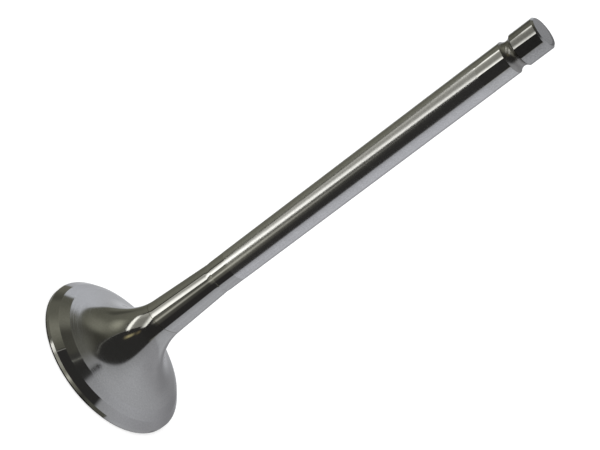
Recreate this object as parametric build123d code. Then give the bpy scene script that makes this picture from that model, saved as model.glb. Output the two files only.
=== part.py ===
"""Poppet valve of a car engine, turned and ground from one bar.

The valve stands on its flat combustion face.  The origin is the centre of
that face and +Z runs up the stem to the tip.  Heights are measured from the
face, except those of the keeper end, which are measured from the tip.
Millimetres and degrees.
"""

from build123d import *
import math
import os

# Stem
STEM_DIA = 5.97             # plated and ground length that runs in the guide
OVERALL_LENGTH = 100.1      # combustion face to tip
PLATING = 0.02              # thickness of the hard plating on the stem
PLATED_FROM_FACE = 31.7     # height at which the plating starts
BARE_TIP_LENGTH = 12.4      # unplated length under the tip
PLATING_RAMP = 0.25         # length over which the plating fades out

# Head
HEAD_DIA = 31.0
MARGIN = 1.0                # plain rim between the face and the seat
FACE_EDGE_RADIUS = 0.2      # broken edge round the combustion face
SEAT_WIDTH = 1.2            # measured across the radius
SEAT_ANGLE = 45.0           # seat above the plane of the face
BACK_CUT_WIDTH = 1.63       # measured across the radius
BACK_CUT_ANGLE = 34.0       # relief ring above the plane of the face

# Tulip and neck
TULIP_ANGLE = 22.0          # back of the head above the plane of the face
TULIP_RADIUS = 11.9         # sweep from the back of the head into the neck
NECK_HALF_ANGLE = 2.95      # taper of the neck
NECK_UNDERCUT = 0.05        # neck below the stem's surface where it is thinnest
NECK_TOP = 27.3             # height of the thinnest place
NECK_RUNOUT = 0.8           # ramp from the thinnest place back to the stem

# Keeper end
GROOVE_FROM_TIP = 5.83      # middle of the keeper groove below the tip
GROOVE_RADIUS = 1.3         # round section of the groove
GROOVE_DEPTH = 0.5
GROOVE_EDGE_RADIUS = 0.12
TIP_CHAMFER = 0.3

# Radii and heights that follow
stem_r = STEM_DIA / 2
bare_r = stem_r - PLATING
neck_r = bare_r - NECK_UNDERCUT
head_r = HEAD_DIA / 2
seat_r = head_r - SEAT_WIDTH
back_cut_r = seat_r - BACK_CUT_WIDTH
seat_top = MARGIN + SEAT_WIDTH * math.tan(math.radians(SEAT_ANGLE))
back_cut_top = seat_top + BACK_CUT_WIDTH * math.tan(math.radians(BACK_CUT_ANGLE))
plated_top = OVERALL_LENGTH - BARE_TIP_LENGTH
groove_height = OVERALL_LENGTH - GROOVE_FROM_TIP


def neck_corner():
    """Where the straight flank of the tulip would meet the straight neck."""
    flank = 1 / math.tan(math.radians(TULIP_ANGLE))
    taper = math.tan(math.radians(NECK_HALF_ANGLE))
    height = (back_cut_r - neck_r + flank * back_cut_top - taper * NECK_TOP) / (flank - taper)
    return (neck_r + taper * (NECK_TOP - height), height)


def tulip_sweep(corner):
    """Radius of the sweep, as large as the flank of the tulip has room for."""
    flank_length = math.dist(corner, (back_cut_r, back_cut_top))
    half_turn = math.radians(90 - TULIP_ANGLE - NECK_HALF_ANGLE) / 2
    return min(TULIP_RADIUS, 0.95 * flank_length / math.tan(half_turn))


def half_section():
    """Outline on one side of the axis, from the face up to the tip."""
    corner = neck_corner()
    outline = [
        (0, 0),
        (head_r, 0),
        (head_r, MARGIN),
        (seat_r, seat_top),
        (back_cut_r, back_cut_top),
        corner,
        (neck_r, NECK_TOP),
        (bare_r, NECK_TOP + NECK_RUNOUT),
        (bare_r, PLATED_FROM_FACE - PLATING_RAMP),
        (stem_r, PLATED_FROM_FACE),
        (stem_r, plated_top),
        (bare_r, plated_top + PLATING_RAMP),
        (bare_r, OVERALL_LENGTH),
        (0, OVERALL_LENGTH),
    ]
    section = make_face(Polyline(*outline, close=True))
    at = section.vertices()
    section = fillet(at.sort_by_distance((*corner, 0))[0], tulip_sweep(corner))
    rim = section.vertices().sort_by_distance((head_r, 0, 0))[0]
    return fillet(rim, FACE_EDGE_RADIUS)


def blank():
    """Head, neck and stem, turned as one body."""
    return revolve(Plane.XZ * half_section(), Axis.Z)


def keeper_groove():
    """Ring of round section that the cotters grip."""
    ring_r = bare_r - GROOVE_DEPTH + GROOVE_RADIUS
    return Pos(0, 0, groove_height) * Torus(ring_r, GROOVE_RADIUS)


def valve():
    """The whole valve, with its groove cut and its keeper end broken."""
    body = blank() - keeper_groove()
    lip = math.sqrt(GROOVE_RADIUS**2 - (GROOVE_RADIUS - GROOVE_DEPTH) ** 2)
    lips = [
        body.edges().sort_by_distance((bare_r, 0, height))[0]
        for height in (groove_height - lip, groove_height + lip)
    ]
    body = fillet(lips, GROOVE_EDGE_RADIUS)
    tip_edge = body.edges().filter_by(GeomType.CIRCLE).sort_by(Axis.Z)[-1]
    return chamfer(tip_edge, TIP_CHAMFER)


os.makedirs("parts", exist_ok=True)
part = valve()
part.label = "valve"
export_step(part, "parts/valve.step")
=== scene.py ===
"""Engine valve: the turned and ground body, its finishes, and a plain studio stage."""
import math

import bmesh
import bpy
from bpy.props import FloatProperty, FloatVectorProperty, IntProperty, PointerProperty
from bpy.types import Operator, Panel, PropertyGroup
from mathutils import Matrix, Vector


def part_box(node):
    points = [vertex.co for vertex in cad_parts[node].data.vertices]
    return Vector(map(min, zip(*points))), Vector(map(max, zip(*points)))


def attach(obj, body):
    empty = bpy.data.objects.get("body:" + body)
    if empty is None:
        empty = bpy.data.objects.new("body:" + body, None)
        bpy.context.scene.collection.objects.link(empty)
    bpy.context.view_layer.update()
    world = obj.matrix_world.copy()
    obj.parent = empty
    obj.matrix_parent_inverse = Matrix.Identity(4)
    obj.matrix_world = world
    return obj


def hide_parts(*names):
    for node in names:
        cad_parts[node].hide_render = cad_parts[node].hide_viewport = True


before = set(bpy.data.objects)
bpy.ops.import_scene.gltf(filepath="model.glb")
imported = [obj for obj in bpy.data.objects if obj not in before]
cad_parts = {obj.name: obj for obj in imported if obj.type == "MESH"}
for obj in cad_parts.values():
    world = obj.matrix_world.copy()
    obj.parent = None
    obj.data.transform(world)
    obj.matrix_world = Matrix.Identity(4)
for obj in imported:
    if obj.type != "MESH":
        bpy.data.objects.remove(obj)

bl_info = {
    "name": "Engine Valve",
    "version": (1, 0, 0),
    "blender": (4, 5, 0),
    "location": "View3D > Sidebar > Valve",
    "description": "Turns a poppet valve, finishes its ground and plated lengths, and sets a stage",
    "category": "Add Mesh",
}

MM = 0.001
NODE = "valve"
BODY = "root"
NODE_LOW, NODE_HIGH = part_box(NODE)

# tolerances of the mesh work
SAME_POINT = 0.0005 * MM        # points nearer than this are one point
ON_PLANE = 0.001 * MM           # a point this near a cutting plane lies on it
ARC_MISS = 0.002 * MM           # how far an arc may end from where it should
ON_RING = 0.004 * MM            # how near an edge lies to the ring that it belongs to
ABOVE_FACE = 0.0001 * MM        # what is higher than this is not the flat face
BELOW_TIP = 0.01 * MM           # what is farther below the tip is not its flat end
FACES_ALONG_AXIS = 0.99         # least share of a normal for a face that looks up or down

# steps of the round cuts
EDGE_STEPS = 10
SWEEP_STEPS = 64
LIP_STEPS = 8
GROOVE_STEPS = 28

# rings of edges that carry the shading or bound a finish
FACE_RING = 0.5                 # share of the head's radius
EDGE_RING = 1.75                # height on the margin, in times the face's broken edge
NECK_RINGS = (0.25, 0.5, 0.75)  # shares of the neck's height
NECK_EASE = 0.35 * MM           # last step of the neck, which rounds its shading
PLATED_RINGS = (0.2, 0.4, 0.6, 0.8)                 # shares of the plated length
LAND_RINGS = (0.17, 0.33, 0.5, 0.67, 0.83, 1.0)     # shares from the chamfer to LAND_INSIDE
LAND_INSIDE = 1.20 * MM         # in from the bare stem

# where the small finishes lie
FACE_TOP = 0.05 * MM            # the face's finish ends above the face itself
LINE_SLOPE = 0.205              # rise of the blend line's plane towards +X
LINE_HALF = 0.07 * MM           # half the height of the blend line
GROOVE_REACH = 1.18 * MM        # from the groove's middle to the end of its finish
# painted dark reflection as a band on the groove's upper lip
PAINTED_LIP_REFLECTION = (0.99 * MM, 1.09 * MM)   # dark band above the groove's middle

# two arcs of painted dark reflection, each the part of a ring that is farther than a reach from a
# point in plan
HEAD_ARC_REACH = 18.4 * MM
HEAD_ARC_ABOUT = (3.5 * MM, 3.5 * MM)
TIP_ARC_REACH = 0.02 * MM       # more than the land's radius
TIP_ARC_ABOUT = (-0.45 * MM, -0.55 * MM)

# how the metal varies
ACROSS = (1.0, 0.0)             # rings on a face across the axis
ALONG = (0.0, 1.0)              # rings on a face along the axis
FLANK = (1.0, -1.0)             # rings on the tulip, whose radius falls as it rises
STAIN = 0.05                    # how much the bands vary the colour, as a share of it
SMEAR_TONE = 0.6                # how much a smear darkens, in times the stain
SMEAR_ROUGH = 0.2               # how much a smear roughens, as a share of the roughness
BAND_ROUGH = 0.1                # how much the bands vary the roughness, as a share of it
RING_SPAN = (0.36, 0.64)        # values of the rings that count as smooth and rough
OUTER_SPAN = (6 * MM, 11 * MM)  # radii between which the outer roughness comes in
LEAN_START = 10.5 * MM          # radius past which a surface leans
LEAN_BLEND = 3 * MM             # over which the lean comes in


# ---------------------------------------------------------------- sizes and colours

def length(name, description, millimetres):
    """A length the user may change, in Blender's metres."""
    return FloatProperty(name=name, description=description, default=millimetres * MM,
                         min=0.0, precision=5, unit="LENGTH")


def angle(name, description, degrees):
    """An angle the user may change, in radians."""
    return FloatProperty(name=name, description=description, default=math.radians(degrees),
                         subtype="ANGLE")


def factor(name, description, value):
    """A share from 0 to 1."""
    return FloatProperty(name=name, description=description, default=value, min=0.0, max=1.0,
                         subtype="FACTOR")


def colour(name, description, value):
    """A colour in linear light."""
    return FloatVectorProperty(name=name, description=description, default=value, size=3,
                               min=0.0, max=1.0, subtype="COLOR")


class ValveSizes(PropertyGroup):
    """The lengths and angles that the lathe work follows"""
    head_diameter: length("Head diameter", "Across the margin", (NODE_HIGH[0] - NODE_LOW[0]) / MM)
    overall_length: length("Overall length", "Face to tip", (NODE_HIGH[2] - NODE_LOW[2]) / MM)
    margin: length("Margin", "Height of the plain rim", 1.0)
    face_edge: length("Face edge", "Radius that breaks the rim at the face", 0.2)
    seat_width: length("Seat width", "Radial width of the seat", 1.2)
    seat_angle: angle("Seat angle", "Above the face plane", 45.0)
    relief_width: length("Relief width", "Radial width of the ring inside the seat", 1.63)
    relief_angle: angle("Relief angle", "Above the face plane", 34.0)
    tulip_angle: angle("Tulip flank angle", "Above the face plane", 22.0)
    tulip_radius: length("Tulip sweep", "Radius from the flank to the neck", 11.9)
    line_height: length("Blend line height", "Where the turned tulip meets the polish", 14.2)
    neck_angle: angle("Neck half angle", "Taper of the neck", 2.95)
    neck_top: length("Neck top", "Height where the taper ends", 27.3)
    neck_runout: length("Neck run-out", "Length of the rise to the bare stem", 0.8)
    neck_diameter: length("Neck diameter", "Where the taper ends", 5.83)
    bare_diameter: length("Bare stem diameter", "Stem without plating", 5.93)
    plated_diameter: length("Plated stem diameter", "Over the hard plating", 5.97)
    plated_start: length("Plating start", "Height where the plating begins", 31.7)
    plated_end: length("Plating end", "Height where the plating stops", 87.7)
    plating_ramp: length("Plating ramp", "Length over which the plating thins out", 0.7)
    finish_gap: length("Finish gap", "From full plating to the ring on its ramp", 0.25)
    groove_height: length("Groove height", "Middle of the keeper groove", 94.27)
    groove_radius: length("Groove radius", "Radius of the groove's round bottom", 1.3)
    groove_depth: length("Groove depth", "Below the bare stem", 0.5)
    groove_lip: length("Groove lip", "Radius that breaks the groove's edges", 0.12)
    tip_chamfer: length("Tip chamfer", "Both ways at the tip's edge", 0.3)
    turns: IntProperty(name="Turns", description="Steps round the lathe axis", default=288, min=64)


class ValveFinish(PropertyGroup):
    """The colours of the metal, and how rough its main lengths are; the dark edges are a painted
    dark reflection
    """
    plated: colour("Hard plating", "Ground plating on the guide length", (0.61, 0.61, 0.62))
    bare: colour("Bare steel", "Ground steel above the plating", (0.56, 0.56, 0.56))
    neck: colour("Neck", "Polished steel below the plating", (0.50, 0.50, 0.50))
    tulip: colour("Tulip", "Turned steel on the head's back", (0.467, 0.467, 0.463))
    seat: colour("Head rings", "Face, margin, seat and relief", (0.465, 0.465, 0.465))
    line: colour("Blend line", "Ring between the tulip and the neck", (0.30, 0.295, 0.27))
    groove: colour("Groove", "Turned keeper groove", (0.345, 0.34, 0.33))
    tip: colour("Tip", "Hardened end of the stem and its chamfer", (0.41, 0.41, 0.41))
    land: colour("Tip land", "Ground end of the tip", (0.215, 0.215, 0.212))
    # painted dark reflection: the dark that rounded edges mirror from their surroundings, laid on
    # as a colour
    rim: colour("Dark edges", "Dark film on the broken edges", (0.030, 0.029, 0.027))
    stem_roughness: factor("Stem roughness", "Plated length", 0.17)
    head_roughness: factor("Head roughness", "Turned tulip", 0.07)


class ValveStage(PropertyGroup):
    """The floor, the cloths of the tent, the lamp and the camera"""
    floor: colour("Floor", "Paper under the valve", (0.55, 0.55, 0.55))
    light_side: colour("Light side", "Pale side of the tent", (0.640, 0.648, 0.674))
    light_low: colour("Light side, level", "At the height of the head", (0.49, 0.49, 0.512))
    light_near: colour("Light side, near", "Beside the olive side", (0.80, 0.82, 0.87))
    light_edge: colour("Light side, edge", "Where it meets the black", (0.30, 0.30, 0.30))
    shade_side: colour("Shade side", "Olive side of the tent", (0.165, 0.163, 0.129))
    shade_top: colour("Shade top", "Olive side above the valve", (0.074, 0.072, 0.058))
    shade_hem: colour("Shade hem", "Olive beside the pale side", (0.215, 0.212, 0.170))
    dark_side: colour("Dark side", "Black cloth of the tent", (0.037, 0.036, 0.034))
    dark_top: colour("Dark top", "Black cloth above the valve", (0.044, 0.043, 0.041))
    tent_radius: length("Tent radius", "From the valve to the tent", 600.0)
    lamp_size: length("Lamp size", "Side of the overhead lamp", 800.0)
    lamp_power: FloatProperty(name="Lamp power", description="Power of the overhead lamp",
                              default=3.2, min=0.0, unit="POWER")
    elevation: angle("Camera elevation", "Above the floor", 25.595)
    distance: length("Camera distance", "To the point looked at", 314.54)
    roll: angle("Camera roll", "Turn about the view axis", 53.12)
    lens: FloatProperty(name="Lens", description="Focal length on a 36 mm sensor",
                        default=111.636, unit="CAMERA")


# ---------------------------------------------------------------- shader helpers

def wire(tree, start, end):
    """Joins an output to an input."""
    tree.links.new(start, end)


def node(tree, kind, place, **values):
    """Adds a node. A keyword names an attribute, or an input as in_0 or in_From_Min, and an
    input that is given a socket is wired to it."""
    made = tree.nodes.new(kind)
    made.location = (place[0] * 200, -place[1] * 180)
    for key, value in values.items():
        if not key.startswith("in_"):
            setattr(made, key, value)
            continue
        key = key[3:].replace("_", " ")
        end = made.inputs[int(key) if key.isdigit() else key]
        if isinstance(value, bpy.types.NodeSocket):
            wire(tree, value, end)
        else:
            end.default_value = value
    return made


def maths(tree, place, operation, *feeds, **values):
    """The result of a Math node; each feed is a number or a socket."""
    values.update({f"in_{number}": feed for number, feed in enumerate(feeds)})
    return node(tree, "ShaderNodeMath", place, operation=operation, **values).outputs[0]


def ramp(tree, place, value, span, to=(0.0, 1.0), shape="LINEAR"):
    """A value's span mapped onto another, and held at both ends."""
    made = node(tree, "ShaderNodeMapRange", place, interpolation_type=shape, in_Value=value,
                in_From_Min=span[0], in_From_Max=span[1], in_To_Min=to[0], in_To_Max=to[1])
    return made.outputs[0]


def step(tree, place, value, low, high):
    """A smooth step of a value, from 0 at low to 1 at high."""
    return ramp(tree, place, value, (low, high), shape="SMOOTHSTEP")


def blank_material(name):
    """A material with nothing but its output node."""
    made = bpy.data.materials.new(name)
    made.use_nodes = True
    made.node_tree.nodes.clear()
    return made, made.node_tree, node(made.node_tree, "ShaderNodeOutputMaterial", (9, 0))


def group(name, inputs, outputs):
    """A shader node group with its sockets: the tree, what it is given and its output node."""
    tree = bpy.data.node_groups.new(name, "ShaderNodeTree")
    for kind, label, value in inputs:
        made = tree.interface.new_socket(name=label, in_out="INPUT", socket_type=kind)
        if value is not None:
            made.default_value = value
    for label in outputs:
        tree.interface.new_socket(name=label, in_out="OUTPUT", socket_type="NodeSocketFloat")
    return (tree, node(tree, "NodeGroupInput", (-6, 0)).outputs,
            node(tree, "NodeGroupOutput", (6, 0)))


def turning_marks():
    """Fine rings left by the tool or wheel, unbroken round the axis and uneven across it."""
    tree, given, out = group(
        "Turning marks",
        [("NodeSocketVector", "Place", None), ("NodeSocketFloat", "Along radius", 0.0),
         ("NodeSocketFloat", "Along axis", 1.0), ("NodeSocketFloat", "Rings per metre", 4000.0)],
        ["Rings", "Bands", "Radius"])
    parts = node(tree, "ShaderNodeSeparateXYZ", (-5, 0), in_0=given["Place"]).outputs
    flat = node(tree, "ShaderNodeCombineXYZ", (-4, 1), in_0=parts[0], in_1=parts[1])
    radius = node(tree, "ShaderNodeVectorMath", (-3, 1), operation="LENGTH",
                  in_0=flat.outputs[0]).outputs["Value"]
    outward = maths(tree, (-2, 1), "MULTIPLY", radius, given["Along radius"])
    travel = maths(tree, (-1, 0), "MULTIPLY_ADD", parts[2], given["Along axis"], outward)
    count = maths(tree, (0, 0), "MULTIPLY", travel, given["Rings per metre"])
    rings = node(tree, "ShaderNodeTexNoise", (1, 0), noise_dimensions="1D", in_W=count,
                 in_Scale=1.0, in_Detail=2.0)
    slow = maths(tree, (1, 2), "MULTIPLY", count, 0.12)
    bands = node(tree, "ShaderNodeTexNoise", (2, 2), noise_dimensions="1D", in_W=slow,
                 in_Scale=1.0, in_Detail=3.0)
    wire(tree, rings.outputs[0], out.inputs["Rings"])
    wire(tree, bands.outputs[0], out.inputs["Bands"])
    wire(tree, radius, out.inputs["Radius"])
    return tree


def handling():
    """Faint smears and a fine grain that sit on the metal."""
    tree, given, out = group(
        "Handling",
        [("NodeSocketVector", "Place", None), ("NodeSocketFloat", "Patches per metre", 90.0)],
        ["Smears", "Grain"])
    cloud = node(tree, "ShaderNodeTexNoise", (-2, 0), in_Vector=given["Place"],
                 in_Scale=given["Patches per metre"], in_Detail=4.0, in_Roughness=0.6,
                 in_Distortion=0.6)
    wire(tree, step(tree, (0, 0), cloud.outputs[0], 0.45, 0.75), out.inputs["Smears"])
    speck = node(tree, "ShaderNodeTexNoise", (-2, 2), in_Vector=given["Place"],
                 in_Scale=3200.0, in_Detail=1.0)
    # the grain runs from about -1 to 1
    wire(tree, maths(tree, (0, 2), "MULTIPLY_ADD", speck.outputs[0], 4.0, -2.0),
         out.inputs["Grain"])
    return tree


def metal(name, base, roughness, marks, smears, rings=ALONG, pitch=4000.0, depth=0.0004,
          spread=0.0, outer=1.0, grain=0.05, lean=0.0):
    """One finish: a base colour and roughness, with rings, smears and grain that vary them.

    The pitch is in rings per metre and their depth in millimetres. The spread is how much
    rougher some rings are, and outer is how many times rougher the metal is near the head's
    edge. A lean tips the shading by that slope beyond LEAN_START, as a worn cutter does."""
    made, tree, out = blank_material(name)
    place = node(tree, "ShaderNodeTexCoord", (-5, 0)).outputs["Object"]
    turned = node(tree, "ShaderNodeGroup", (-3, 0), node_tree=marks, in_Place=place,
                  in_Along_radius=rings[0], in_Along_axis=rings[1],
                  in_Rings_per_metre=pitch).outputs
    touched = node(tree, "ShaderNodeGroup", (-3, 2), node_tree=smears, in_Place=place).outputs

    tone = ramp(tree, (-1, -1), turned["Bands"], (0.0, 1.0), (1.0 - STAIN, 1.0 + STAIN))
    dull = maths(tree, (0, 1), "MULTIPLY_ADD", touched["Smears"], -STAIN * SMEAR_TONE, tone)
    speck = maths(tree, (0, 2), "MULTIPLY_ADD", touched["Grain"], grain, dull)
    tint = node(tree, "ShaderNodeVectorMath", (1, 0), operation="SCALE", in_0=base,
                in_Scale=speck)

    rub = ramp(tree, (-1, 3), turned["Bands"], (0.0, 1.0),
               (roughness * (1.0 - BAND_ROUGH), roughness * (1.0 + BAND_ROUGH)))
    soft = maths(tree, (1, 3), "MULTIPLY_ADD", touched["Smears"], roughness * SMEAR_ROUGH, rub)
    uneven = ramp(tree, (1, 7), turned["Rings"], RING_SPAN, (0.0, spread))
    worn = ramp(tree, (1, 8), turned["Radius"], OUTER_SPAN, (1.0, outer))
    rough = maths(tree, (3, 3), "MULTIPLY", maths(tree, (2, 3), "ADD", soft, uneven), worn)

    beyond = maths(tree, (0, 5), "SMOOTH_MAX", turned["Radius"], LEAN_START, LEAN_BLEND)
    rise = maths(tree, (1, 5), "MULTIPLY_ADD", beyond, lean / (depth * MM), turned["Rings"])
    bump = node(tree, "ShaderNodeBump", (2, 4), in_Strength=1.0, in_Distance=depth * MM,
                in_Height=rise)

    shader = node(tree, "ShaderNodeBsdfPrincipled", (5, 0), in_Base_Color=tint.outputs[0],
                  in_Metallic=1.0, in_Roughness=rough, in_Normal=bump.outputs[0])
    wire(tree, shader.outputs[0], out.inputs[0])
    return made


# ---------------------------------------------------------------- lathe helpers

class Section:
    """The half section of a turned part, drawn point by point in the XZ plane."""

    def __init__(self, name, radius, height):
        bpy.ops.object.select_all(action="DESELECT")
        bpy.ops.mesh.primitive_plane_add(size=MM, location=(radius, 0, height))
        self.piece = bpy.context.active_object
        self.piece.name = self.piece.data.name = name
        bpy.ops.object.mode_set(mode="EDIT")
        bpy.ops.mesh.select_mode(type="VERT")
        bpy.ops.mesh.select_all(action="SELECT")
        bpy.ops.mesh.merge(type="CENTER")
        self.radius, self.height = radius, height

    def line_to(self, radius, height):
        """A straight cut to a new point."""
        move = (radius - self.radius, 0, height - self.height)
        bpy.ops.mesh.extrude_region_move(TRANSFORM_OT_translate={"value": move})
        self.radius, self.height = radius, height

    def arc_to(self, radius, height, centre, steps):
        """A round cut about centre (radius, height) to a new point."""
        start = math.atan2(self.height - centre[1], self.radius - centre[0])
        end = math.atan2(height - centre[1], radius - centre[0])
        turn = (end - start + math.pi) % (2 * math.pi) - math.pi
        place = self.piece.matrix_world.translation
        bpy.ops.mesh.spin(steps=steps, angle=turn, center=(centre[0], 0, centre[1]),
                          axis=(0, 1, 0))
        self.radius, self.height = radius, height
        mesh = bmesh.from_edit_mesh(self.piece.data)
        tips = [place + v.co for v in mesh.verts if v.select]
        if not tips or (tips[0] - Vector((radius, 0, height))).length > ARC_MISS:
            raise RuntimeError(f"the arc to {radius / MM:.3f}, {height / MM:.3f} mm missed: {tips}")

    def turn(self, steps):
        """Swings the section once round the axis and closes the solid."""
        bpy.ops.mesh.select_all(action="SELECT")
        bpy.ops.mesh.spin(steps=steps, angle=2 * math.pi, center=(0, 0, 0), axis=(0, 0, 1))
        bpy.ops.mesh.select_all(action="SELECT")
        bpy.ops.mesh.remove_doubles(threshold=SAME_POINT)
        bpy.ops.mesh.normals_make_consistent(inside=False)
        bpy.ops.object.mode_set(mode="OBJECT")
        bpy.ops.object.transform_apply(location=True, rotation=True, scale=True)
        bpy.ops.object.shade_smooth()


def sharpen(piece, rings):
    """Marks the edge rings at these (radius, height) corners as sharp."""
    bpy.ops.object.mode_set(mode="EDIT")
    bpy.ops.mesh.select_mode(type="EDGE")
    bpy.ops.mesh.select_all(action="DESELECT")
    mesh = bmesh.from_edit_mesh(piece.data)
    for edge in mesh.edges:
        ends = [(math.hypot(v.co.x, v.co.y), v.co.z) for v in edge.verts]
        edge.select_set(any(all(abs(r - ring[0]) < ON_RING and abs(z - ring[1]) < ON_RING
                                for r, z in ends) for ring in rings))
    bmesh.update_edit_mesh(piece.data)
    bpy.ops.mesh.mark_sharp()
    bpy.ops.object.mode_set(mode="OBJECT")


def ring_cut(height, slope):
    """Cuts a ring of edges into the active piece, along a plane that rises towards +X."""
    bpy.ops.object.mode_set(mode="EDIT")
    bpy.ops.mesh.select_all(action="SELECT")
    bpy.ops.mesh.bisect(plane_co=(0, 0, height), plane_no=Vector((-slope, 0, 1)).normalized(),
                        threshold=ON_PLANE)
    bpy.ops.object.mode_set(mode="OBJECT")


def finish_zone(piece, material, low, high, facing=None, slope=0.0, beyond=0.0,
                about=(0.0, 0.0)):
    """Gives the faces between two heights a material. A slope tips the heights towards +X,
    facing picks only up or down faces, and beyond only those farther from a point in plan."""
    bpy.ops.object.select_all(action="DESELECT")
    piece.select_set(True)
    bpy.context.view_layer.objects.active = piece
    if material.name not in piece.data.materials:
        bpy.ops.object.material_slot_add()
        piece.material_slots[-1].material = material
    piece.active_material_index = piece.data.materials.find(material.name)
    bpy.ops.object.mode_set(mode="EDIT")
    bpy.ops.mesh.select_mode(type="FACE")
    bpy.ops.mesh.select_all(action="DESELECT")
    mesh = bmesh.from_edit_mesh(piece.data)
    for face in mesh.faces:
        centre = face.calc_center_median()
        height = centre.z - slope * centre.x
        turned = facing is None or face.normal.z * facing > FACES_ALONG_AXIS
        far = math.hypot(centre.x - about[0], centre.y - about[1]) >= beyond
        face.select_set(low <= height < high and turned and far)
    bmesh.update_edit_mesh(piece.data)
    bpy.ops.object.material_slot_assign()
    bpy.ops.object.mode_set(mode="OBJECT")


# ---------------------------------------------------------------- the valve

def tangent_arc(corner, before, after, radius):
    """Start, end and centre of an arc that rounds a corner between two directions."""
    a, b = Vector(before).normalized(), Vector(after).normalized()
    half = a.angle(b) / 2
    reach = radius * math.tan(half)
    start, end = Vector(corner) - a * reach, Vector(corner) + b * reach
    inward = (b - a).normalized()
    return start, end, Vector(corner) + inward * radius / math.cos(half)


def cut_head(section, size):
    """The face, margin, seat, relief ring and tulip; gives the corners at the head's rings."""
    head_r = size.head_diameter / 2
    edge_r = head_r - size.face_edge
    seat_r = head_r - size.seat_width
    seat_top = size.margin + size.seat_width * math.tan(size.seat_angle)
    relief_r = seat_r - size.relief_width
    relief_top = seat_top + size.relief_width * math.tan(size.relief_angle)
    section.line_to(head_r * FACE_RING, 0.0)
    section.line_to(edge_r, 0.0)
    section.arc_to(head_r, size.face_edge, (edge_r, size.face_edge), EDGE_STEPS)
    section.line_to(head_r, size.face_edge * EDGE_RING)
    section.line_to(head_r, size.margin)
    section.line_to(seat_r, seat_top)
    section.line_to(relief_r, relief_top)

    # the flank and the neck meet at a corner, which the sweep rounds
    neck_r = size.neck_diameter / 2
    flank = (-math.cos(size.tulip_angle), math.sin(size.tulip_angle))
    neck = (-math.sin(size.neck_angle), math.cos(size.neck_angle))
    t = math.tan(size.tulip_angle)
    k = math.tan(size.neck_angle)
    corner_r = (neck_r + k * (size.neck_top - relief_top - relief_r * t)) / (1 - k * t)
    corner = (corner_r, relief_top + (relief_r - corner_r) * t)
    start, end, centre = tangent_arc(corner, flank, neck, size.tulip_radius)
    section.line_to(*start)
    section.arc_to(end[0], end[1], centre, SWEEP_STEPS)
    return (head_r, size.margin), (seat_r, seat_top), (relief_r, relief_top)


def cut_neck(section, size):
    """The tapered neck and its rise to the bare stem."""
    neck_r = size.neck_diameter / 2
    end_r, end_height = section.radius, section.height
    rest = size.neck_top - end_height
    for share in (*NECK_RINGS, 1 - NECK_EASE / rest):
        section.line_to(end_r + (neck_r - end_r) * share, end_height + rest * share)
    section.line_to(neck_r, size.neck_top)
    section.line_to(size.bare_diameter / 2, size.neck_top + size.neck_runout)


def cut_plating(section, size):
    """The plated length, which thins out to the bare stem at both ends."""
    bare_r, plated_r = size.bare_diameter / 2, size.plated_diameter / 2
    fade_r = bare_r + (plated_r - bare_r) * (1 - size.finish_gap / size.plating_ramp)
    section.line_to(bare_r, size.plated_start - size.plating_ramp)
    section.line_to(fade_r, size.plated_start - size.finish_gap)
    section.line_to(plated_r, size.plated_start)
    for share in PLATED_RINGS:
        section.line_to(plated_r, size.plated_start + (size.plated_end - size.plated_start) * share)
    section.line_to(plated_r, size.plated_end)
    section.line_to(fade_r, size.plated_end + size.finish_gap)
    section.line_to(bare_r, size.plated_end + size.plating_ramp)


def cut_groove(section, size):
    """The keeper groove: a round bottom between two lips with their edges broken."""
    bare_r, lip, height = size.bare_diameter / 2, size.groove_lip, size.groove_height
    lip_r = bare_r - lip
    middle = (bare_r - size.groove_depth + size.groove_radius, height)
    rise = math.sqrt((size.groove_radius + lip) ** 2 - (middle[0] - bare_r + lip) ** 2)
    share = size.groove_radius / (size.groove_radius + lip)
    meet_r = middle[0] + (lip_r - middle[0]) * share
    section.line_to(bare_r, height - rise)
    section.arc_to(meet_r, height - rise * share, (lip_r, height - rise), LIP_STEPS)
    section.arc_to(meet_r, height + rise * share, middle, GROOVE_STEPS)
    section.arc_to(bare_r, height + rise, (lip_r, height + rise), LIP_STEPS)


def turn_valve(size):
    """Draws the half section from face to tip and swings it round the axis."""
    bare_r, top = size.bare_diameter / 2, size.overall_length
    land_r = bare_r - size.tip_chamfer
    section = Section("valve_body", 0.0, 0.0)
    corners = cut_head(section, size)
    cut_neck(section, size)
    cut_plating(section, size)
    cut_groove(section, size)
    section.line_to(bare_r, top - size.tip_chamfer)
    section.line_to(land_r, top)
    for share in LAND_RINGS:
        section.line_to(land_r - (LAND_INSIDE - size.tip_chamfer) * share, top)
    section.line_to(0.0, top)
    section.turn(size.turns)
    sharpen(section.piece, [*corners, (bare_r, size.neck_top + size.neck_runout),
                            (bare_r, top - size.tip_chamfer), (land_r, top)])
    return section.piece, [height for _, height in corners]


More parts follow.
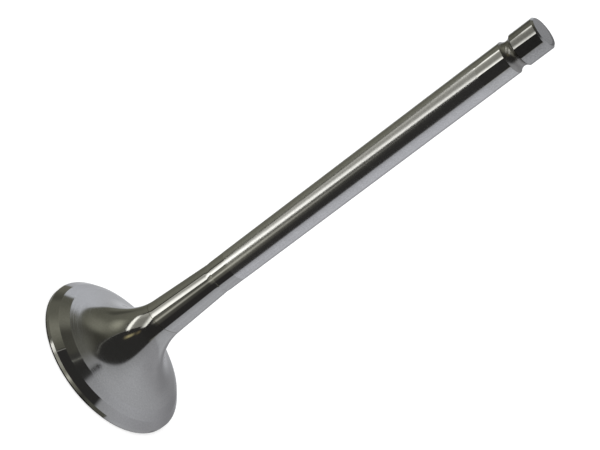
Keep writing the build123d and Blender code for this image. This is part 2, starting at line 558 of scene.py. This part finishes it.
def valve_finishes(look):
    """Makes the finishes and the painted dark reflection, by name."""
    marks, smears = turning_marks(), handling()
    rows = {
        "turned_face": (look.seat, 0.22, {"rings": ACROSS, "pitch": 3000}),
        "ground_margin": (look.seat, 0.09, {"pitch": 6000}),
        "ground_seat": (look.seat, 0.035, {"pitch": 6000, "depth": 0.0002}),
        "turned_relief": (look.seat, 0.085, {"rings": ACROSS, "pitch": 5000, "lean": 0.084}),
        "turned_tulip": (look.tulip, look.head_roughness,
                         {"rings": FLANK, "pitch": 3200, "depth": 0.0016, "spread": 0.05,
                          "outer": 1.45, "lean": -0.02}),
        "blend_line": (look.line, 0.20, {}),
        "polished_neck": (look.neck, 0.055, {"pitch": 3000, "depth": 0.0001}),
        "ground_plating": (look.plated, look.stem_roughness,
                           {"pitch": 5000, "depth": 0.0001, "grain": 0.07}),
        "ground_stem_end": (look.bare, 0.05, {"pitch": 3000, "depth": 0.0001, "grain": 0.09}),
        "turned_groove": (look.groove, 0.27, {"pitch": 4000, "depth": 0.0001}),
        "hardened_tip": (look.tip, 0.06, {"pitch": 3000, "depth": 0.0001, "grain": 0.14}),
        "tip_land": (look.land, 0.25, {"rings": ACROSS, "pitch": 6000, "grain": 0.12}),
        "tip_chamfer": (look.tip, 0.20, {}),
        # painted dark reflection, standing for the dark that these edges mirror
        "painted_dark_reflection": (look.rim, 0.22, {}),
    }
    return {name: metal(name, base, roughness, marks, smears, **detail)
            for name, (base, roughness, detail) in rows.items()}


def finish_valve(piece, size, look, heights):
    """Lays the finishes on the body, from the face up to the tip, with painted dark reflection on
    some edges; a later row covers an earlier one where they meet."""
    margin_top, seat_top, relief_top = heights
    start, end = size.plated_start, size.plated_end + size.finish_gap
    line, groove, top = size.line_height, size.groove_height, size.overall_length
    for height in (line - LINE_HALF, line + LINE_HALF):
        ring_cut(height, LINE_SLOPE)
    rows = (
        ("turned_face", -MM, FACE_TOP, {"facing": -1}),
        ("ground_margin", ABOVE_FACE, margin_top, {}),
        # painted dark reflection on the face's rounded edge all round, and on an arc of the margin
        # just above it
        ("painted_dark_reflection", ABOVE_FACE, size.face_edge, {}),
        ("painted_dark_reflection", size.face_edge, size.face_edge * EDGE_RING,
         {"beyond": HEAD_ARC_REACH, "about": HEAD_ARC_ABOUT}),
        ("ground_seat", margin_top, seat_top, {}),
        ("turned_relief", seat_top, relief_top, {}),
        ("turned_tulip", relief_top, start, {}),
        ("blend_line", line - LINE_HALF, line + LINE_HALF, {"slope": LINE_SLOPE}),
        ("polished_neck", line + LINE_HALF, start + MM, {"slope": LINE_SLOPE}),
        ("ground_plating", start, end, {}),
        ("ground_stem_end", end, groove - GROOVE_REACH, {}),
        ("turned_groove", groove - GROOVE_REACH, groove + GROOVE_REACH, {}),
        ("hardened_tip", groove + GROOVE_REACH, top, {}),
        ("tip_chamfer", top - size.tip_chamfer, top - BELOW_TIP, {}),
        # painted dark reflection as a band on the groove's upper lip
        ("painted_dark_reflection", groove + PAINTED_LIP_REFLECTION[0], groove + PAINTED_LIP_REFLECTION[1], {}),
        ("tip_land", top - BELOW_TIP, top + MM, {"facing": 1}),
        # painted dark reflection as a crescent along the edge of the tip's end
        ("painted_dark_reflection", top - BELOW_TIP, top + MM,
         {"facing": 1, "about": TIP_ARC_ABOUT,
          "beyond": size.bare_diameter / 2 - size.tip_chamfer + TIP_ARC_REACH}),
    )
    finishes = valve_finishes(look)
    for name, low, high, where in rows:
        finish_zone(piece, finishes[name], low, high, **where)


class VALVE_OT_body(Operator):
    """Turns the valve body and gives each length its finish"""
    bl_idname = "valve.body"
    bl_label = "Valve Body"

    def execute(self, context):
        size, look = context.scene.valve_sizes, context.scene.valve_finish
        piece, heights = turn_valve(size)
        finish_valve(piece, size, look, heights)
        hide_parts(NODE)
        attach(piece, BODY)
        return {"FINISHED"}


# ---------------------------------------------------------------- the stage

STAGE_CENTRE = Vector((0, 0, 20 * MM))      # the tent and its cards stand round this point
FLOOR_SIZE = 6.0                            # metres
FLOOR_DROP = 0.02 * MM                      # keeps the paper clear of the face
PAPER_GLOW = 0.62                           # added to the lit paper, to make it white
ROOM_LIGHT = 0.7                            # strength of the world
LAMP_PLACE = Vector((-0.35, 0.1, 0.9))
CAMERA_AIM = Vector((1.27 * MM, 0.0, 46.11 * MM))

# normals of the planes through the valve that part the tent's cloths
OLIVE_EDGE = (0.780, 0.625, 0.035)          # upper part of the pale side's olive edge
OLIVE_SLANT = (0.789, 0.516, 0.334)         # its slanted lower part
HEM_EDGE = (0.689, 0.643, 0.334)            # low down, the olive hem lies past this
BLACK_EDGE = (0.662, 0.748, 0.050)          # the pale side's edge towards the black cloth

# each card's name, its azimuth, elevation and roll in degrees, its width and height, its
# distance, its tone and the soft shares of its left, right, lower and upper edges
FILL_CARDS = (
    ("fill_wide", (-84, 4, 0), (0.84, 1.0), 0.50,
     (0.222, 0.220, 0.174), (0.5, 0.5, 0.06, 0.6)),
    ("fill_low", (-78, -38, 0), (0.70, 0.34), 0.49,
     (0.32, 0.317, 0.252), (0.5, 0.5, 0.1, 0.6)),
    ("fill_upper", (-77, 39, 0), (0.58, 0.30), 0.488,
     (0.32, 0.317, 0.254), (0.5, 0.5, 0.5, 0.35)),
    ("fill_near", (-97, 23, -35), (0.48, 0.28), 0.48,
     (0.52, 0.515, 0.41), (0.5, 0.5, 0.5, 0.5)),
    ("zenith_glow", (-50, 68, 0), (0.36, 0.36), 0.50,
     (0.175, 0.173, 0.145), (0.5, 0.5, 0.5, 0.5)),
    ("corner_line", (-52, 0, 15), (0.17, 0.30), 0.472,
     (0.105, 0.104, 0.083), (0.5, 0.5, 0.3, 0.3)),
    ("low_pale", (50, -42, 0), (0.90, 0.36), 0.48,
     (0.47, 0.47, 0.485), (0.5, 0.5, 0.1, 0.5)),
    ("far_dim", (24, -5, 0), (0.56, 0.72), 0.478,
     (0.335, 0.335, 0.350), (0.5, 0.5, 0.25, 0.5)),
    ("table_dark", (149, -29, -11), (0.342, 0.36), 0.47,
     (0.037, 0.036, 0.034), (0.1, 0.3, 0.1, 0.2)),
    ("table_far", (-172, -36, 0), (0.46, 0.34), 0.465,
     (0.302, 0.295, 0.236), (0.5, 0.5, 0.1, 0.6)),
    ("table_near", (-166, -32, 0), (0.15, 0.317), 0.46,
     (0.91, 0.89, 0.76), (0.5, 0.5, 0.1, 0.5)),
    ("table_glow", (-152, -36, 0), (0.26, 0.30), 0.445,
     (0.36, 0.354, 0.29), (0.4, 0.4, 0.1, 0.5)),
    ("floor_shade_left", (-100, -40.5, 0), (0.32, 0.124), 0.462,
     (0.178, 0.176, 0.140), (0.3, 0.1, 0.1, 0.2)),
    ("floor_shade_far", (-60, -40.5, 0), (0.26, 0.124), 0.463,
     (0.170, 0.168, 0.134), (0.1, 0.1, 0.1, 0.2)),
    ("floor_shade_mid", (-24, -40.5, 0), (0.42, 0.124), 0.4655,
     (0.26, 0.258, 0.23), (0.3, 0.1, 0.1, 0.2)),
    ("floor_far", (16, -40.5, 0), (0.74, 0.124), 0.464,
     (0.27, 0.27, 0.28), (0.15, 0.3, 0.1, 0.2)),
    ("table_edge", (146, -40, 0), (0.345, 0.111), 0.452,
     (0.125, 0.123, 0.10), (0.03, 0.5, 0.03, 0.03)),
    ("table_margin", (-134, -39, 0), (0.34, 0.08), 0.424,
     (0.55, 0.545, 0.46), (0.3, 0.6, 0.1, 0.1)),
    ("tube_hot", (-98, -6.9, 0), (0.12, 0.012), 0.42,
     (1.7, 1.68, 1.56), (0.4, 0.4, 0.2, 0.2)),
)
AMBER_CARDS = (
    ("amber_card", (-155.4, 25, -25), (0.10, 0.19), 0.43,
     (0.60, 0.52, 0.28), (0.45, 0.45, 0.45, 0.45)),
    ("amber_glint", (-163.5, 10.5, -25), (0.12, 0.10), 0.43,
     (0.22, 0.18, 0.10), (0.45, 0.45, 0.45, 0.45)),
)

# the soft box: where it stands, and its panels from the back to the front, each with its
# left, right, lower and upper edges as shares of its distance, its tone and its soft edges
BOX_TURN = (-126, -10.5, -39.5)
BOX_DISTANCE = 0.44
BOX_LAYER = 0.002
BOX_PANELS = (
    ("box_rim", (-0.53, 0.58, -0.47, 0.525), (0.016, 0.0155, 0.013), (0.05, 0.05, 0.05, 0.05)),
    ("box_face", (-0.47, 0.47, -0.42, 0.43), (0.362, 0.356, 0.315), (0.05, 0.05, 0.05, 0.05)),
    ("box_end", (0.05, 0.47, -0.40, 0.43), (0.605, 0.595, 0.53), (0.8, 0.05, 0.05, 0.05)),
    ("upper_glow", (-0.50, 0.48, 0.15, 0.50), (0.725, 0.715, 0.64), (0.08, 0.08, 0.8, 0.2)),
    ("upper_tube", (-0.55, 0.58, 0.285, 0.465), (2.07, 2.05, 1.89), (0.08, 0.30, 0.25, 0.25)),
    ("lower_tube", (-0.64, 0.49, -0.397, -0.075), (1.72, 1.70, 1.58), (0.10, 0.10, 0.10, 0.85)),
    ("lower_tube_end", (-0.25, 0.49, -0.397, -0.075), (2.37, 2.35, 2.20),
     (0.7, 0.10, 0.10, 0.85)),
)

# the cable: its azimuths and elevations from the top down, and its width
CABLE_TURNS = ((-84, 79), (-102, 76), (-112, 66), (-119, 56), (-123, 46), (-127, 34), (-131, 22))
CABLE_DISTANCE = 0.47
CABLE_STRETCH = 0.48                        # a little more, so that the lengths overlap
CABLE_WIDTH = 0.014
CABLE_TONE = (0.34, 0.337, 0.30)
CABLE_SOFT = (0.02, 0.02, 0.45, 0.45)


def direction(azimuth, elevation):
    """A unit vector; azimuth 0 looks away from the camera and grows towards +X."""
    a, e = math.radians(azimuth), math.radians(elevation)
    return Vector((math.cos(e) * math.sin(a), math.cos(e) * math.cos(a), math.sin(e)))


def placed(place, right, up, back):
    """The matrix of a thing at a place with these three axes."""
    return Matrix.Translation(place) @ Matrix((right, up, back)).transposed().to_4x4()


def only_in_reflections(thing):
    """Cards and the tent are seen only by polished surfaces."""
    for ray in ("camera", "diffuse", "transmission", "volume_scatter", "shadow"):
        setattr(thing, f"visible_{ray}", False)


def mix(tree, place, mask, first, second):
    """A colour mix; first and second are colours or sockets."""
    first, second = (value if isinstance(value, bpy.types.NodeSocket) else (*value, 1.0)
                     for value in (first, second))
    made = node(tree, "ShaderNodeMix", place, data_type="RGBA", in_0=mask, in_6=first,
                in_7=second)
    return made.outputs[2]


def times(tree, place, first, second):
    """The product of two masks."""
    return maths(tree, place, "MULTIPLY", first, second)


def side_of(tree, place, ray, normal, softness):
    """1 where the ray lies on the normal's side of a plane through the valve, 0 on the other."""
    dot = node(tree, "ShaderNodeVectorMath", place, operation="DOT_PRODUCT", in_0=ray,
               in_1=normal)
    return step(tree, (place[0] + 1, place[1]), dot.outputs["Value"], -softness, softness)


def tent_cloth(look):
    """A pale side, an olive side in shade and black cloth towards the camera."""
    made, tree, out = blank_material("tent_cloth")
    place = node(tree, "ShaderNodeTexCoord", (-3, 0)).outputs["Object"]
    ray = node(tree, "ShaderNodeVectorMath", (-2, 0), operation="NORMALIZE",
               in_0=place).outputs[0]
    rise = node(tree, "ShaderNodeSeparateXYZ", (-1, 3), in_0=ray).outputs[2]
    # the olive side is a broad patch to the left that darkens overhead
    left = side_of(tree, (0, 1), ray, direction(-45, -13), 0.02)
    low = step(tree, (0, 2), rise, 0.86, 0.66)
    high = step(tree, (1, 3), rise, -0.10, 0.30)
    dark = mix(tree, (2, 0), high, look.dark_side, look.dark_top)
    olive = mix(tree, (2, 1), low, look.shade_top, look.shade_side)
    shade = mix(tree, (3, 1), left, dark, olive)
    hem = times(tree, (1, 11), side_of(tree, (0, 11), ray, HEM_EDGE, 0.03),
                step(tree, (0, 12), rise, 0.12, -0.02))
    shade = mix(tree, (3, 2), hem, shade, look.shade_hem)
    # the pale side lies between straight edges
    first = times(tree, (1, 10), side_of(tree, (0, 4), ray, OLIVE_EDGE, 0.02),
                  side_of(tree, (0, 10), ray, OLIVE_SLANT, 0.02))
    pale = times(tree, (2, 4), first, side_of(tree, (0, 5), ray, BLACK_EDGE, 0.05))
    # it dips at the height of the head, away from its left edge, and dims towards the black
    level = times(tree, (2, 6), step(tree, (0, 6), rise, -0.15, -0.06),
                  step(tree, (0, 7), rise, 0.85, 0.25))
    dip = times(tree, (3, 7), level, side_of(tree, (0, 8), ray, direction(100, 0), 0.6))
    bright = mix(tree, (4, 6), dip, look.light_side, look.light_low)
    edge = side_of(tree, (0, 9), ray, BLACK_EDGE, 0.62)
    bright = mix(tree, (5, 6), edge, look.light_edge, bright)
    # beside the olive side it is brightest, above the head's own height
    over = times(tree, (1, 15), step(tree, (0, 14), rise, -0.20, 0.35),
                 step(tree, (0, 15), rise, 0.90, 0.60))
    near = times(tree, (2, 13), side_of(tree, (0, 13), ray, direction(-100, 0), 0.25), over)
    bright = mix(tree, (6, 6), near, bright, look.light_near)
    glow = node(tree, "ShaderNodeEmission", (7, 0),
                in_Color=mix(tree, (4, 2), pale, shade, bright))
    wire(tree, glow.outputs[0], out.inputs[0])
    return made


def light_tent(look):
    """A round tent of cloth about the valve, seen only in its reflections."""
    bpy.ops.object.select_all(action="DESELECT")
    bpy.ops.mesh.primitive_uv_sphere_add(segments=64, ring_count=32, radius=look.tent_radius,
                                         location=STAGE_CENTRE)
    tent = bpy.context.active_object
    tent.name = "light_tent"
    bpy.ops.object.shade_smooth()
    tent.data.materials.append(tent_cloth(look))
    only_in_reflections(tent)


def card_axes(azimuth, elevation, roll):
    """The direction to a card and its own left-to-right and upward directions."""
    toward = direction(azimuth, elevation)
    across = toward.cross(Vector((0, 0, 1))).normalized()
    upward = across.cross(toward)
    turn = math.radians(roll)
    return (toward, across * math.cos(turn) + upward * math.sin(turn),
            upward * math.cos(turn) - across * math.sin(turn))


def glowing_card(name, place, axes, size, tone, soft):
    """A flat card of light; soft fades its left, right, lower and upper edges."""
    toward, across, upward = axes
    bpy.ops.object.select_all(action="DESELECT")
    bpy.ops.mesh.primitive_plane_add(size=1.0)
    made = bpy.context.active_object
    made.name = name
    made.matrix_world = placed(place, across * size[0], upward * size[1], -toward)
    material, tree, out = blank_material(name)
    where = node(tree, "ShaderNodeTexCoord", (-4, 0)).outputs["Object"]
    parts = node(tree, "ShaderNodeSeparateXYZ", (-3, 0), in_0=where).outputs
    cover = None
    for row, edge in enumerate(soft):
        # left and lower edges fade one way, right and upper ones the other
        axis, way = row // 2, 1 - 2 * (row % 2)
        mask = step(tree, (0, row), parts[axis], -0.5 * way, (edge - 0.5) * way)
        cover = times(tree, (2, row), cover, mask) if cover else mask
    glow = node(tree, "ShaderNodeEmission", (5, 1), in_Color=(*tone, 1.0))
    clear = node(tree, "ShaderNodeBsdfTransparent", (5, -1))
    blend = node(tree, "ShaderNodeMixShader", (7, 0), in_0=cover, in_1=clear.outputs[0],
                 in_2=glow.outputs[0])
    wire(tree, blend.outputs[0], out.inputs[0])
    made.data.materials.append(material)
    only_in_reflections(made)


def hang_cards(rows):
    """Hangs cards that face the valve."""
    for name, turns, size, distance, tone, soft in rows:
        axes = card_axes(*turns)
        glowing_card(name, STAGE_CENTRE + axes[0] * distance, axes, size, tone, soft)


def soft_box():
    """A dark rim round a grey face, and two bright tubes along its long edges."""
    axes = card_axes(*BOX_TURN)
    for layer, (name, (left, right, lower, upper), tone, soft) in enumerate(BOX_PANELS):
        far = BOX_DISTANCE - BOX_LAYER * layer
        middle = axes[0] + axes[1] * (left + right) / 2 + axes[2] * (lower + upper) / 2
        glowing_card(name, STAGE_CENTRE + middle * far, axes,
                     ((right - left) * far, (upper - lower) * far), tone, soft)


def cable_glint():
    """A thin pale cable that hangs from the top of the tent down to the soft box's upper tube."""
    way = [direction(*turn) for turn in CABLE_TURNS]
    for number, (start, end) in enumerate(zip(way, way[1:])):
        along, toward = (end - start).normalized(), (start + end).normalized()
        glowing_card(f"cable_{number}", STAGE_CENTRE + toward * CABLE_DISTANCE,
                     (toward, along, along.cross(toward)),
                     ((end - start).length * CABLE_STRETCH, CABLE_WIDTH), CABLE_TONE, CABLE_SOFT)


def paper_floor(look):
    """A wide sheet of white paper that keeps the valve's soft shadow."""
    bpy.ops.object.select_all(action="DESELECT")
    bpy.ops.mesh.primitive_plane_add(size=FLOOR_SIZE, location=(0, 0, -FLOOR_DROP))
    floor = bpy.context.active_object
    floor.name = "paper_floor"
    made, tree, out = blank_material("white_paper")
    sheet = node(tree, "ShaderNodeBsdfDiffuse", (3, 0), in_Color=(*look.floor, 1.0))
    path = node(tree, "ShaderNodeLightPath", (0, 2)).outputs
    seen = maths(tree, (1, 2), "ADD", path["Is Camera Ray"], path["Is Glossy Ray"],
                 use_clamp=True)
    seen = maths(tree, (2, 2), "ADD", seen, path["Is Transmission Ray"], use_clamp=True)
    white = node(tree, "ShaderNodeEmission", (4, 2),
                 in_Strength=maths(tree, (3, 2), "MULTIPLY", seen, PAPER_GLOW))
    both = node(tree, "ShaderNodeAddShader", (6, 0), in_0=sheet.outputs[0],
                in_1=white.outputs[0])
    wire(tree, both.outputs[0], out.inputs[0])
    floor.data.materials.append(made)
    floor.visible_glossy = False


def white_room():
    """An even white world."""
    world = bpy.data.worlds.new("white_room")
    bpy.context.scene.world = world
    world.use_nodes = True
    back = world.node_tree.nodes["Background"]
    back.inputs["Color"].default_value = (1.0, 1.0, 1.0, 1.0)
    back.inputs["Strength"].default_value = ROOM_LIGHT


def overhead_lamp(look):
    """One soft lamp above the valve, which the metal does not mirror."""
    bpy.ops.object.light_add(type="AREA", location=LAMP_PLACE)
    lamp = bpy.context.active_object
    lamp.name = "overhead_lamp"
    lamp.data.shape = "SQUARE"
    lamp.data.size = look.lamp_size
    lamp.data.energy = look.lamp_power
    lamp.rotation_euler = (-LAMP_PLACE).to_track_quat("-Z", "Y").to_euler()
    lamp.visible_glossy = False


def camera(look):
    """Looks along +Y and down at the middle of the valve, rolled so that the valve leans."""
    bpy.ops.object.camera_add()
    made = bpy.context.active_object
    made.data.sensor_width = 36.0
    made.data.lens = look.lens
    forward = Vector((0.0, math.cos(look.elevation), -math.sin(look.elevation)))
    level = Vector((1.0, 0.0, 0.0))
    straight = level.cross(forward)
    right = level * math.cos(look.roll) + straight * math.sin(look.roll)
    made.matrix_world = placed(CAMERA_AIM - forward * look.distance, right,
                               right.cross(forward), -forward)
    made.data.clip_start, made.data.clip_end = 0.01, 20.0
    bpy.context.scene.camera = made


class VALVE_OT_stage(Operator):
    """Sets the floor, the light tent with its cards, the lamp and the camera"""
    bl_idname = "valve.stage"
    bl_label = "Stage"

    def execute(self, context):
        look = context.scene.valve_stage
        context.scene.view_settings.view_transform = "Standard"
        white_room()
        paper_floor(look)
        light_tent(look)
        hang_cards(FILL_CARDS)
        soft_box()
        hang_cards(AMBER_CARDS)
        cable_glint()
        overhead_lamp(look)
        camera(look)
        return {"FINISHED"}


class VALVE_PT_sidebar(Panel):
    """Lists the steps and all that can be set"""
    bl_label = "Engine Valve"
    bl_idname = "VALVE_PT_sidebar"
    bl_space_type = "VIEW_3D"
    bl_region_type = "UI"
    bl_category = "Valve"

    def draw(self, context):
        for operator in (VALVE_OT_body, VALVE_OT_stage):
            self.layout.operator(operator.bl_idname)
        for settings in (context.scene.valve_sizes, context.scene.valve_finish,
                         context.scene.valve_stage):
            box = self.layout.box()
            for name in settings.__annotations__:
                box.prop(settings, name)


CLASSES = (ValveSizes, ValveFinish, ValveStage, VALVE_OT_body, VALVE_OT_stage, VALVE_PT_sidebar)


def register():
    for item in CLASSES:
        bpy.utils.register_class(item)
    bpy.types.Scene.valve_sizes = PointerProperty(type=ValveSizes)
    bpy.types.Scene.valve_finish = PointerProperty(type=ValveFinish)
    bpy.types.Scene.valve_stage = PointerProperty(type=ValveStage)


def unregister():
    for name in ("valve_stage", "valve_finish", "valve_sizes"):
        delattr(bpy.types.Scene, name)
    for item in reversed(CLASSES):
        bpy.utils.unregister_class(item)


def main():
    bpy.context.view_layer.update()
    register()
    bpy.ops.valve.body()
    bpy.ops.valve.stage()


if __name__ == "__main__":
    main()
